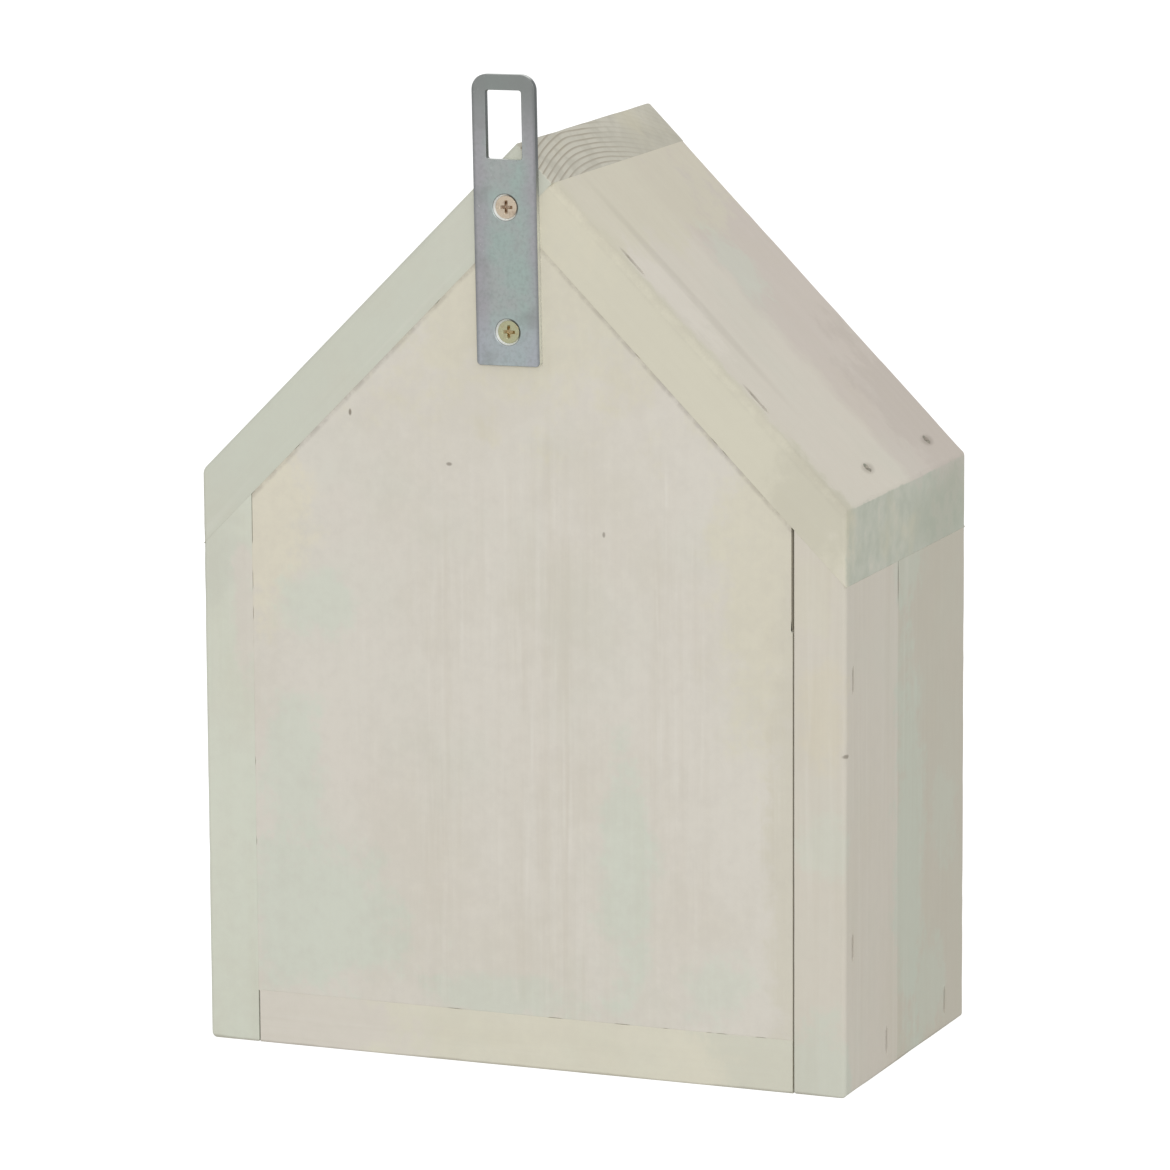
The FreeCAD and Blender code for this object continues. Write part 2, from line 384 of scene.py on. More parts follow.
sway_reach = (5 * mm, 5 * mm, 0)
sway_length = (1, 1, 0.05)
fibre_length = (1, 1, 0.04)
sways_per_metre = 26
rubs_per_metre = 34
fibres_per_metre = 1700
streaks_per_metre = 300
brush_marks_per_metre = 460
mottles_per_metre = 230
patches_per_metre = 24
tatters_per_metre = 75
dabs_per_metre = 150
end_fade = 18 * mm
foot_unevenness = 2.6 * mm
foot_darkening_top = -0.3 * mm
foot_darkening_full = -1.2 * mm
fibre_height = 0.12 * mm


def whitewashed(
    name, turn, pith, ring_width, wash, sawn_wash, ring_line, specks=(), thick_end=-1.0, stave=None,
    strokes=(), rims=(), streaky=0.45, streaks_at=None, dab=None,
):
    """Planed softwood under a thin wash. The growth rings run round a pith line, so that faces show long
    streaks and sawn ends show arcs. turn brings the grain upright. sawn_wash is the wash on the ends, and
    ring_line the colour that their rings show through it. In front of thick_end it hides them, and dab is the
    colour of the dabs on it. stave is the wash on a second stave of a glued-up board, where it starts and how
    soft its border is. A stroke is a patch of another tint: its middle, reach, colour and share. A rim is a
    line of dust and painted shade along an edge: a point on it, the way in from it, its breadth and share. A
    speck is a dark mark: its middle, reach and share. streaky is how much the brush marks show, and
    streaks_at the middle and the reach of where they do."""
    material, tree, shader = new_finish(name)
    spot = add(tree, "TexCoord")
    here = spot.outputs["Object"]

    # Growth rings, swaying a little along the board
    upright_grain = {"Vector": here, "Rotation": turn, "Location": (-pith[0], -pith[1], 0)}
    grain = add(tree, "Mapping", upright_grain).outputs[0]
    long_way = reckon_vector(tree, "MULTIPLY", grain, sway_length)
    sway = blotches(tree, long_way, sways_per_metre, 1.5).outputs["Color"]
    swayed = reckon_vector(tree, "MULTIPLY_ADD", sway, sway_reach, grain)
    from_pith = reckon_vector(tree, "LENGTH", reckon_vector(tree, "MULTIPLY", swayed, (1, 1, 0)))
    ring = reckon(tree, "FRACT", reckon(tree, "DIVIDE", from_pith, ring_width))
    rising = spread(tree, ring, 0.5, 0.88)
    falling = spread(tree, ring, 0.9, 1.0, 1.0, 0.0)
    late_wood = reckon(tree, "MULTIPLY", rising, falling)

    # Fibres, brush marks and patches
    thin_way = reckon_vector(tree, "MULTIPLY", grain, fibre_length)
    fibre = blotches(tree, thin_way, fibres_per_metre, 2, 0.6).outputs["Fac"]
    streak = blotches(tree, thin_way, streaks_per_metre, 3, 0.6).outputs["Fac"]
    brush_mark = blotches(tree, thin_way, brush_marks_per_metre, 2, 0.5).outputs["Fac"]
    rubbed = spread(tree, blotches(tree, long_way, rubs_per_metre, 2).outputs["Fac"], 0.42, 0.6)
    mottle = blotches(tree, here, mottles_per_metre, 4, 0.72).outputs["Fac"]
    cover = blotches(tree, here, patches_per_metre, 4, 0.62)
    patches = add(tree, "SeparateColor", {"Color": cover.outputs["Color"]})
    place = add(tree, "SeparateXYZ", {0: here})
    tatters = blotches(tree, here, tatters_per_metre, 4, 0.68).outputs["Fac"]
    ragged = reckon(tree, "MULTIPLY_ADD", tatters, 2.6, reckon(tree, "MULTIPLY", mottle, 0.8))

    # The wash and its tints
    brushed = wash
    if stave is not None:
        stave_wash, starts, blur = stave
        wavering = reckon(tree, "MULTIPLY_ADD", tatters, 4 * blur, place.outputs["Y"])
        brushed = tinge(tree, wash, stave_wash, wavering, starts + 3 * blur, starts + blur)
    brushed = tinge(tree, brushed, cream, patches.outputs["Red"], 0.46, 0.68, 0.12)
    brushed = tinge(tree, brushed, rosy, patches.outputs["Green"], 0.48, 0.7, 0.1)
    brushed = tinge(tree, brushed, mossy, patches.outputs["Blue"], 0.47, 0.68, 0.14)
    sawn_colour = sawn_wash
    for middle, extent, tint, share in strokes:
        covered = reckon(tree, "MULTIPLY", within(tree, here, middle, extent, ragged), share)
        brushed = blend(tree, covered, brushed, tint)
        sawn_colour = blend(tree, reckon(tree, "MULTIPLY", covered, 0.6), sawn_colour, tint)

    # The faces, where bare wood shows through
    thin = spread(tree, cover.outputs["Fac"], 0.35, 0.65)
    worn_thin = reckon(tree, "MULTIPLY_ADD", late_wood, 0.03, reckon(tree, "MULTIPLY", streak, 0.34))
    worn_thin = reckon(tree, "MULTIPLY_ADD", fibre, 0.1, worn_thin)
    worn_thin = reckon(tree, "MULTIPLY_ADD", thin, 0.04, worn_thin)
    showing = spread(tree, worn_thin, 0.17, 0.36, 0.0, 0.13)
    marked = reckon(tree, "MULTIPLY", rubbed, streaky)
    if streaks_at is not None:
        marked = reckon(tree, "MULTIPLY", marked, within(tree, here, *streaks_at, ragged))
    showing = reckon(tree, "MULTIPLY", showing, reckon(tree, "MULTIPLY_ADD", marked, 0.8, 0.2))
    face = blend(tree, showing, brushed, bare_wood)
    chalky = reckon(tree, "MULTIPLY", spread(tree, brush_mark, 0.5, 0.76, 0.0, 0.42), marked)
    face = blend(tree, chalky, face, chalk)
    clouding = reckon(tree, "MULTIPLY_ADD", cover.outputs["Fac"], 0.9, mottle)
    face = tinge(tree, face, thin_wash, clouding, 0.72, 1.2, 0.05 + 0.14 * streaky)
    # Darker along the foot of every face that does not face down
    downward = add(tree, "SeparateXYZ", {0: spot.outputs["Normal"]}).outputs["Z"]
    footing = reckon(tree, "MULTIPLY_ADD", cover.outputs["Fac"], -foot_unevenness, place.outputs["Z"])
    darker_foot = spread(tree, footing, foot_darkening_top, foot_darkening_full, 0.0, 0.4)
    darker_foot = reckon(tree, "MULTIPLY", darker_foot, spread(tree, downward, -0.9, -0.5))
    face = blend(tree, darker_foot, face, grime_and_shade)

    # The sawn ends
    turned_normal = {"Vector": spot.outputs["Normal"], "Rotation": turn}
    along = add(tree, "Mapping", turned_normal, vector_type="NORMAL").outputs[0]
    end_on = reckon(tree, "ABSOLUTE", add(tree, "SeparateXYZ", {0: along}).outputs["Z"])
    dabs = blotches(tree, here, dabs_per_metre, 3, 0.55).outputs["Fac"]
    sawn = spread(tree, reckon(tree, "MULTIPLY_ADD", dabs, 0.7, end_on), 0.75, 1.05)
    hidden = spread(tree, place.outputs["Y"], thick_end - end_fade, thick_end + end_fade, 0.12, 1.0)
    line_share = reckon(tree, "MULTIPLY", late_wood, reckon(tree, "MULTIPLY_ADD", thin, 0.5, 0.5))
    end = blend(tree, reckon(tree, "MULTIPLY", line_share, hidden), sawn_colour, ring_line)
    end = tinge(tree, end, dab or ring_line, dabs, 0.42, 0.66, 0.36)
    end = tinge(tree, end, cream, patches.outputs["Red"], 0.5, 0.7, 0.5)
    end = tinge(tree, end, bare_wood, fibre, 0.4, 0.8, 0.07)
    colour = blend(tree, reckon(tree, "MULTIPLY", sawn, 0.9), face, end)

    # Dust and painted shade along edges, and dark marks
    for point, inward, breadth, share in rims:
        inside = reckon_vector(tree, "DOT_PRODUCT", reckon_vector(tree, "SUBTRACT", here, point), inward)
        dust_and_shade = spread(tree, inside, breadth * 0.2, breadth, share, 0.0)
        dust_and_shade = reckon(tree, "MULTIPLY", dust_and_shade, spread(tree, mottle, 0.35, 0.6, 0.35, 1.0))
        colour = blend(tree, dust_and_shade, colour, grime_and_shade)
    for middle, extent, share in specks:
        darkened = spread(tree, outness(tree, here, middle, extent), 0.4, 1.0, share, 0.0)
        colour = blend(tree, darkened, colour, grime_and_shade)

    tree.links.new(colour, shader.inputs["Base Color"])
    dull = spread(tree, streak, 0.3, 0.7, 0.76, 0.84)
    tree.links.new(dull, shader.inputs["Roughness"])
    shader.inputs["Specular IOR Level"].default_value = 0.25
    ridges = reckon(tree, "MULTIPLY_ADD", streak, 0.5, fibre)
    roughed = 0.03 + 0.09 * streaky
    bump = add(tree, "Bump", {"Strength": roughed, "Distance": fibre_height, "Height": ridges})
    tree.links.new(bump.outputs["Normal"], shader.inputs["Normal"])
    return material


def set_in_house(name, mesh, material, node, body="house", smooth_below=40):
    """A finished piece in its place, riding on its body and standing for its CAD node."""
    piece = bpy.data.objects.new(name, mesh)
    bpy.context.scene.collection.objects.link(piece)
    mesh.materials.clear()
    mesh.materials.append(material)
    mesh.shade_smooth()
    mesh.set_sharp_from_angle(angle=math.radians(smooth_below))
    evened = piece.modifiers.new("even_shading", "WEIGHTED_NORMAL")
    evened.keep_sharp = True
    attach(piece, body)
    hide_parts(node)


def back_stroke(spot, reach, tint, share):
    """A stroke of wash on the back of the house: its x and z and its reach, all in millimetres."""
    return (spot[0] * mm, back, spot[1] * mm), tuple(length * mm for length in reach), tint, share


shoulder = eave_height - roof_drop
side_top = shoulder + (half_width - inner_half) * slope
right_corners = [
    (inner_half, 0, 0.5 * mm, 0.6 * mm, 0.5 * mm),
    (half_width, 0, sanded * 1.5, sanded, sanded),
    (half_width, shoulder, joint, joint, joint),
    (inner_half, side_top, joint, sanded * 0.7, joint),
]
left_corners = [
    (-half_width, 0, sanded, 0.6 * mm, 0.5 * mm),
    (-inner_half, 0, 0.5 * mm, sanded * 0.7, 0.25 * mm),
    (-inner_half, side_top, joint, joint, joint),
    (-half_width, shoulder, joint, sanded, sanded),
]
nick_spot = (-half_width, back - 1 * mm, 99.9 * mm)
corner_nick = (nick_spot, 1.2 * mm, 0.6 * mm)
grain_up = (0, 0, 0)
board_pits = slits("base_staples", sideways, upright) + slits("panel_side_staples", sideways, upright)
left_pits = [cutter for cutter in board_pits if cutter.vertices[0].co.x < 0]
stave_edge = 7.5 * mm
split_depth = 1.2 * mm
split_spot = Vector((-half_width, stave_edge, 144 * mm))
split = [(-7 * mm, 0), (-3 * mm, -0.14 * mm), (4 * mm, -0.2 * mm)]
split += [(7 * mm, 0), (3 * mm, 0.16 * mm), (-4 * mm, 0.1 * mm)]
left_pits.append(pit(split, split_spot, sideways(-1), upright(-1), split_depth))
right_pits = [cutter for cutter in board_pits if cutter.vertices[0].co.x > 0]
left_mesh = board_mesh("side_left", left_corners, front, back, [corner_nick])
right_mesh = board_mesh("side_right", right_corners, front, back)
side_wash = paint(211, 205, 192)
green_wash = paint(212, 215, 200)
sawn_wash = paint(206, 202, 188)
ring_grey = paint(182, 173, 156)
corner_speck = (nick_spot, (2 * mm, 1.8 * mm, 0.8 * mm), 0.6)
split_speck = ((-half_width, stave_edge, 143 * mm), (2 * mm, 0.6 * mm, 9 * mm), 0.5)
stave = (paint(200, 195, 180), stave_edge, 0.5 * mm)
sea_wash = paint(199, 205, 190)
side_strokes = [
    ((-half_width, -2 * mm, 56 * mm), (20 * mm, 12 * mm, 56 * mm), sea_wash, 0.75),
    ((-half_width, -2 * mm, 150 * mm), (20 * mm, 12 * mm, 14 * mm), sea_wash, 0.6),
    ((-half_width, -34 * mm, 66 * mm), (20 * mm, 11 * mm, 14 * mm), sea_wash, 0.45),
    ((-half_width, -20 * mm, 18 * mm), (20 * mm, 16 * mm, 14 * mm), sea_wash, 0.6),
    back_stroke((-92, 112), (7, 5, 15), paint(213, 206, 187), 0.8),
    back_stroke((-90, 145), (7, 5, 11), paint(212, 207, 190), 0.7),
    back_stroke((-92, 74), (8, 5, 9), paint(208, 209, 195), 0.8),
    back_stroke((-92, 8), (12, 5, 16), paint(205, 207, 193), 0.9),
]
left_pith = (-40 * mm, 30 * mm)
left_rings = 2.4 * mm
left_wood = whitewashed(
    "wash_side_left", grain_up, left_pith, left_rings, side_wash, sawn_wash, ring_grey,
    [corner_speck, split_speck], stave=stave, strokes=side_strokes,
)
right_pith = (30 * mm, -70 * mm)
right_rings = 2.2 * mm
right_strokes = [
    back_stroke((97, 146), (12, 12, 14), paint(206, 208, 194), 0.9),
    back_stroke((87, 130), (4, 8, 20), paint(216, 209, 198), 0.8),
]
right_wood = whitewashed(
    "wash_side_right", grain_up, right_pith, right_rings, green_wash, sawn_wash, ring_grey,
    strokes=right_strokes, streaky=0.8,
)
set_in_house("side_left", cut_out(left_mesh, left_pits), left_wood, "side_board_left")
set_in_house("side_right", cut_out(right_mesh, right_pits), right_wood, "side_board_right")

# Base board. A board as deep as the sides and set between them, flush underneath, with its grain running
# across the house. It was cut a little short, so a dark line shows at each end.
base_low, base_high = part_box("base_board")
base_corners = [
    (base_low.x, 0, joint, 0.5 * mm, 0.4 * mm),
    (base_high.x, 0, joint, sanded * 0.5, joint),
    (base_high.x, base_high.z, joint, sanded * 0.7, joint),
    (base_low.x, base_high.z, joint, sanded * 0.5, joint),
]
grain_across = (0, math.radians(-90), 0)
base_mesh = board_mesh("base", base_corners, front, back)
base_wash = paint(219, 215, 197)
base_strokes = [
    back_stroke((72, 8), (34, 30, 16), paint(216, 210, 199), 0.9),
    back_stroke((-80, 8), (24, 30, 16), paint(210, 209, 193), 0.9),
]
base_pith = (55 * mm, 20 * mm)
base_rings = 2.3 * mm
base_wood = whitewashed(
    "wash_base", grain_across, base_pith, base_rings, base_wash, sawn_wash, ring_grey, strokes=base_strokes
)
set_in_house("base", base_mesh, base_wood, "base_board")

# Back panel. One wide five-sided board with upright grain, let in between the sides, the base and the roof
# and flush with their back edges. Wash has run into the tight joints round it, and on one side the joint
# stands open, wider at the top than below.
panel_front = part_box("back_panel")[0].y
apex = eave_height + half_width * slope
inner_apex = apex - roof_drop
wide_gap = 0.8 * mm
narrow_gap = 0.4 * mm
gap_step = 135.5 * mm
tight_gap = 0.2 * mm
foot_gap = 0.15 * mm
gap_slant = 0.8 * mm
panel_foot = base_high.z + foot_gap
panel_right = inner_half - tight_gap
panel_apex = inner_apex - tight_gap / math.cos(roof_pitch)
wide_edge = wide_gap - inner_half
narrow_edge = narrow_gap - inner_half
panel_spots = [
    (narrow_edge, panel_foot),
    (panel_right, panel_foot),
    (panel_right, panel_apex - panel_right * slope),
    (0, panel_apex),
    (wide_edge, panel_apex + wide_edge * slope),
    (wide_edge, gap_step),
    (narrow_edge, gap_step - gap_slant),
]
panel_corners = [(x, z, joint, joint, joint) for x, z in panel_spots]
wash_spacing = 1.5 * mm
run_length = 9 * mm
run_grain = 2.5 * mm
fuller_roof_joint = 0.18
fuller_base_joint = 0.6
fuller_base_from = 25 * mm
barer_joint = 0.5
barer_joint_from = 148 * mm
skimmed_from = -0.28
filled_from = -0.5
fill = tight_gap * 0.99
panel_shape = [corner[:3] for corner in panel_corners]
skimmed = []
filled = []
for spot, angle, *_ in outline(panel_shape, [0] * len(panel_shape), wash_spacing):
    run = noise.noise(Vector((spot[0], 7, spot[1])) / run_length)
    run += 0.5 * noise.noise(Vector((spot[0], 3, spot[1])) / run_grain)
    open_side = math.cos(angle) < -0.9
    if math.sin(angle) > 0.5:
        run += fuller_roof_joint
    elif math.sin(angle) < -0.5 and spot[0] > fuller_base_from:
        run += fuller_base_joint
    elif spot[1] > barer_joint_from:
        run -= barer_joint
    skimmed.append(0 if open_side or run < skimmed_from else fill)
    filled.append(0 if open_side or run < filled_from else fill)
unfilled = [0] * len(filled)
wash_depths = (0.05 * mm, 0.055 * mm, 0.32 * mm, 0.36 * mm, 2 * mm, 2.2 * mm)
panel_swell = list(zip(wash_depths, (unfilled, skimmed, skimmed, filled, filled, unfilled)))
panel_specks = [
    ((21.5 * mm, back, 177.1 * mm), (1.2 * mm, 2 * mm, 0.7 * mm), 0.6),
    ((-26.4 * mm, back, 159.4 * mm), (0.6 * mm, 2 * mm, 1.1 * mm), 0.55),
    ((52.5 * mm, back, 190.5 * mm), (0.6 * mm, 2 * mm, 1.3 * mm), 0.75),
]
straw_wash = paint(216, 211, 191)
green_tint = paint(209, 213, 199)
panel_strokes = [
    back_stroke((0, 246), (75, 9, 46), straw_wash, 0.75),
    back_stroke((-76, 150), (15, 9, 48), straw_wash, 0.8),
    back_stroke((-84, 70), (7, 9, 80), paint(209, 204, 188), 0.8),
    back_stroke((80, 154), (14, 9, 24), paint(221, 215, 196), 0.9),
    back_stroke((64, 134), (12, 9, 9), green_tint, 0.8),
    back_stroke((72, 84), (10, 9, 20), green_tint, 0.8),
    back_stroke((64, 38), (26, 9, 22), green_tint, 0.9),
    back_stroke((-33, 60), (8, 9, 34), green_tint, 0.9),
    back_stroke((6, 20), (22, 9, 7), green_tint, 0.8),
    back_stroke((-60, 30), (10, 9, 10), green_tint, 0.7),
]


def off_slope(side):
    return Vector((side * math.sin(roof_pitch), 0, math.cos(roof_pitch)))


panel_top = (0, back, panel_apex)
# Lines of dust and painted shade along the joints under the roof boards
panel_rims = [(panel_top, -off_slope(side), 1.5 * mm, 0.28) for side in (-1, 1)]
streaks_middle = (-12 * mm, back, 92 * mm)
streaks_reach = (62 * mm, 30 * mm, 88 * mm)
panel_mesh = board_mesh("panel", panel_corners, panel_front, back, swell=panel_swell, spacing=wash_spacing)
panel_wash = paint(217, 212, 201)
panel_pith = (38 * mm, -55 * mm)
panel_rings = 2.5 * mm
panel_wood = whitewashed(
    "wash_panel", grain_up, panel_pith, panel_rings, panel_wash, sawn_wash, ring_grey, panel_specks,
    strokes=panel_strokes, rims=panel_rims, streaky=1.0, streaks_at=(streaks_middle, streaks_reach),
)
set_in_house("panel", panel_mesh, panel_wood, "back_panel")

# Roof boards. Two boards at 45 degrees that lap at the ridge: the long one runs past it, and its sawn end
# with arched growth rings lies flush in the other slope. Their eaves are cut plumb over the side boards.
lap = roof_thickness / (2 * math.sin(roof_pitch))
lap_height = apex - lap * slope
long_corners = [
    (half_width, shoulder, joint, sanded, sanded),
    (half_width, eave_height, sanded * 2.6, sanded, sanded * 1.7),
    (0, apex, 0.9 * mm, 0.6 * mm, 0.4 * mm),
    (-lap, lap_height, joint, sanded * 0.6, joint),
]
short_corners = [
    (-half_width, shoulder, joint, sanded * 0.6, joint),
    (0, inner_apex, joint, joint, joint),
    (-lap, lap_height, joint, sanded, sanded * 1.7),
    (-half_width, eave_height, sanded * 1.6, sanded, sanded),
]
roof_nicks = [((-66.8 * mm, back, 204.2 * mm), 1.3 * mm, 0.7 * mm)]
for across in (-16 * mm, -19.5 * mm, -23 * mm, -26.5 * mm):
    roof_nicks.append(((across, front, apex + across * slope), 4 * mm, 0.55 * mm))
grain_up_right = (0, math.radians(45), 0)
grain_up_left = (0, math.radians(-45), 0)
upper_face = apex * math.cos(roof_pitch)
long_pith = (upper_face - 118 * mm, 14 * mm)
short_pith = (95 * mm - upper_face, -12 * mm)
nail_pit_radius = 1.4 * mm
nail_pit_sides = 14
rim_fray = 0.16
rim_change = 90


def nail_pits(node, outward_of, surface_of):
    """The round pits above the heads of the nails of a node, with a ragged rim."""
    made = []
    for side, top, lift in heads(node, outward_of):
        shape = []
        for step in range(nail_pit_sides):
            turn = 2 * math.pi * step / nail_pit_sides
            way = Vector((math.cos(turn), math.sin(turn), top.y * rim_change))
            reach = nail_pit_radius * (1 + rim_fray * noise.noise(way))
            shape.append((reach * math.cos(turn), reach * math.sin(turn)))
        made.append(pit(shape, top + lift, surface_of(side), Vector((0, 1, 0)), pit_depth))
    return made


def down_slope(side):
    return Vector((side * math.cos(roof_pitch), 0, -math.sin(roof_pitch)))


roof_pits = slits("panel_roof_staples", off_slope, down_slope)
roof_pits += nail_pits("eave_nails", upright, off_slope) + nail_pits("ridge_nails", off_slope, off_slope)
long_pits = [cutter for cutter in roof_pits if cutter.vertices[0].co.x > 0]
short_pits = [cutter for cutter in roof_pits if cutter.vertices[0].co.x <= 0]
long_mesh = cut_out(board_mesh("roof_long", long_corners, front, back), long_pits)
short_mesh = cut_out(board_mesh("roof_short", short_corners, front, back, roof_nicks), short_pits)
long_wash = paint(204, 206, 192)
short_wash = paint(218, 212, 199)
mauve_wash = paint(210, 201, 191)
eave_wash = paint(194, 198, 184)
eave_line = paint(186, 190, 175)
eave_dab = paint(170, 178, 162)
eave_shade = paint(182, 186, 170)
ridge_line = paint(154, 142, 124)
ridge_dab = paint(174, 170, 156)
ridge_rings = 1.9 * mm
eave_rings = 2.2 * mm
ridge_stroke = ((-10 * mm, -38 * mm, 261 * mm), (9 * mm, 32 * mm, 9 * mm), paint(192, 189, 174), 1.0)
long_wood = whitewashed(
    "wash_roof_long", grain_up_right, long_pith, ridge_rings, long_wash, sawn_wash, ridge_line,
    thick_end=-8 * mm, strokes=[ridge_stroke], dab=ridge_dab,
)
edge_wash = paint(213, 209, 190)
dusk_wash = paint(202, 193, 183)
pale_wash = paint(224, 218, 206)
short_strokes = [
    ((-36 * mm, 40 * mm, 235 * mm), (38 * mm, 9 * mm, 38 * mm), pale_wash, 0.9),
    ((-50 * mm, back + 2 * mm, 221 * mm), (140 * mm, 7 * mm, 140 * mm), edge_wash, 0.95),
    ((-94 * mm, back + 2 * mm, 174 * mm), (18 * mm, 7 * mm, 18 * mm), paint(204, 200, 182), 0.9),
    ((-18 * mm, 8 * mm, 253 * mm), (20 * mm, 70 * mm, 20 * mm), straw_wash, 0.7),
    ((-42 * mm, -14 * mm, 229 * mm), (13 * mm, 10 * mm, 13 * mm), green_tint, 0.6),
    ((-88 * mm, -44 * mm, 183 * mm), (32 * mm, 24 * mm, 32 * mm), dusk_wash, 0.9),
    ((-half_width - 2 * mm, -40 * mm, 156 * mm), (7 * mm, 34 * mm, 11 * mm), eave_shade, 0.9),
]
# A line of dust and painted shade along the back arris of the slope
short_rims = [((0, back, apex), (math.sin(roof_pitch), -1, -math.cos(roof_pitch)), 3.2 * mm, 0.14)]
nail_pit_darkening = (2.6 * mm, 5.5 * mm, 2.6 * mm)
slit_painted_shade = (4.6 * mm, 1.3 * mm, 4.6 * mm)


def highest(points):
    """The middle of the highest points of a solid."""
    return tuple(points[points[:, 2] > points[:, 2].max() - head_flatness].mean(axis=0))


# Darker round the nail pits, painted shade in the staple slits, and a faint dark band along the slope
roof_dark_marks = [(highest(points), nail_pit_darkening, 0.3) for points in solids_of("eave_nails")]
roof_dark_marks += [(highest(points), slit_painted_shade, 0.3) for points in solids_of("panel_roof_staples")]
roof_dark_marks.append(((-44 * mm, 29.4 * mm, 227 * mm), (56 * mm, 3.8 * mm, 56 * mm), 0.1))
lower_stave = (mauve_wash, -4 * mm, 5 * mm)
short_wood = whitewashed(
    "wash_roof_short", grain_up_left, short_pith, eave_rings, short_wash, eave_wash, eave_line, roof_dark_marks,
    thick_end=80 * mm, stave=lower_stave, strokes=short_strokes, rims=short_rims, streaky=0.1, dab=eave_dab,
)
set_in_house("roof_long", long_mesh, long_wood, "roof_board_long")
set_in_house("roof_short", short_mesh, short_wood, "roof_board_short")

# Nails. Round wire nails driven plumb through the eaves into the side boards, and square through the long
# roof board into the end of the short one. Their heads were punched below the surface, and the wash got
# to them.
flat_angle = math.radians(1)
crisp_angle = math.radians(28)
fastener_edge = 0.12 * mm
recess_shade = 0.5 * mm


def softened(node, name, width):
    """A copy of a CAD node's mesh with its edges very slightly rounded."""
    mesh = bmesh.new()
    mesh.from_mesh(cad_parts[node].data)
    bmesh.ops.remove_doubles(mesh, verts=mesh.verts, dist=same_point)
    bmesh.ops.dissolve_limit(mesh, angle_limit=flat_angle, verts=mesh.verts, edges=mesh.edges)
    crisp = [edge for edge in mesh.edges if edge.is_manifold and edge.calc_face_angle() > crisp_angle]
    rounding = {"offset": width, "segments": 2, "profile": 0.5, "affect": "EDGES", "clamp_overlap": True}
    bmesh.ops.bevel(mesh, geom=crisp, **rounding)
    return finished(mesh, name)


def metal(name, colour, stain, roughness, scale, hollow=None, bareness=1.0):
    """Bare or plated metal with faint stains and fine scuffs. hollow is the depth below which the stain
    colour covers it all over as painted shade, as in a driver recess, and bareness is under 1 where wash
    covers it."""
    material, tree, shader = new_finish(name)
    here = add(tree, "TexCoord").outputs["Object"]
    cloud = blotches(tree, here, scale, 4, 0.6).outputs["Fac"]
    surface = tinge(tree, colour, stain, cloud, 0.45, 0.75, 0.45)
    if hollow is not None:
        # Painted shade in the driver recess, in the stain colour
        depth = add(tree, "SeparateXYZ", {0: here}).outputs["Y"]
        surface = tinge(tree, surface, stain, depth, hollow, hollow - recess_shade, 0.6)
    tree.links.new(surface, shader.inputs["Base Color"])
    scuff = blotches(tree, here, scale * 9, 3, 0.6).outputs["Fac"]
    dull = spread(tree, scuff, 0.3, 0.7, roughness - 0.1, roughness + 0.14)
    tree.links.new(dull, shader.inputs["Roughness"])
    shader.inputs["Metallic"].default_value = bareness
    return material


def set_fasteners(node, material):
    """The fasteners of a CAD node, with their edges rounded."""
    made = softened(node, node + "_made", fastener_edge)
    set_in_house(node + "_made", made, material, node)


nail_grey = paint(152, 147, 134)
nail_stain = paint(112, 106, 94)
nail_metal = metal("nail_metal", nail_grey, nail_stain, roughness=0.7, scale=700, bareness=0.1)
for node in ("eave_nails", "ridge_nails"):
    set_fasteners(node, nail_metal)

# Staples. Flat wire staples shot in by an air gun: through the sides into the base and the back panel, and
# through the roof boards into the panel. Each crown lies at the bottom of its torn slit, and its dark colour
# is partly dull metal and partly painted shade for the slit.
# Dark grey: partly the dull metal and partly painted shade for the slits
staple_dark_and_slit_shade = paint(84, 78, 70)
staple_stain = paint(62, 54, 46)
staple_metal = metal("staple_metal", staple_dark_and_slit_shade, staple_stain, roughness=0.55, scale=700, bareness=0.4)
for node in ("base_staples", "panel_side_staples", "panel_roof_staples"):
    set_fasteners(node, staple_metal)

# Hanger plate. A flat strip of zinc-plated steel, punched with a hanging slot and two countersunk holes. The
# plating is cloudy and scuffed from handling. Painted shade darkens its edges and one side of each
# countersink. A painted highlight brightens its upward faces and the other side of each countersink, and
# brightens its lower flanks along with the bare cut steel there.
plate_edge = 0.3 * mm
plate_low, plate_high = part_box("hanger_plate")
plate_middle = (plate_low.x + plate_high.x) / 2
plate_half = 9.7 * mm
plate_lean = math.tan(math.radians(0.8))
zinc_grey = paint(186, 191, 189)
zinc_green = paint(181, 197, 191)
zinc_lilac = paint(183, 179, 185)
zinc_blue = paint(194, 204, 212)
zinc_dark = paint(150, 154, 151)
painted_edge_shade = paint(108, 112, 112)
zinc_scuffs_and_highlight = paint(222, 225, 222)
cut_steel_and_highlight = paint(238, 240, 236)
painted_countersink_shade = paint(96, 98, 96)
screw_boxes = [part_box(node) for node in ("hanger_screw_upper", "hanger_screw_lower")]
screw_spots = [(low + high) / 2 for low, high in screw_boxes]
countersink = 3.95 * mm
countersink_rim = 0.3 * mm
# The way towards the painted shade in each countersink
painted_shade_way = Vector((-0.9, 0, 0.43))
side_fray = 9 * mm
top_dark_from = plate_high.z - 24 * mm
top_dark_full = plate_high.z - 2 * mm
foot_blue_from = plate_low.z + 18 * mm
foot_blue_full = plate_low.z + 5 * mm
flank_highlight_from = plate_high.z - 22 * mm
flank_highlight_full = plate_high.z - 46 * mm
clouds_per_metre = 70
crystals_per_metre = 900
scuffs_per_metre = 2300
scratches_per_metre = 1500
dents_per_metre = 420
dent_depth = 0.06 * mm


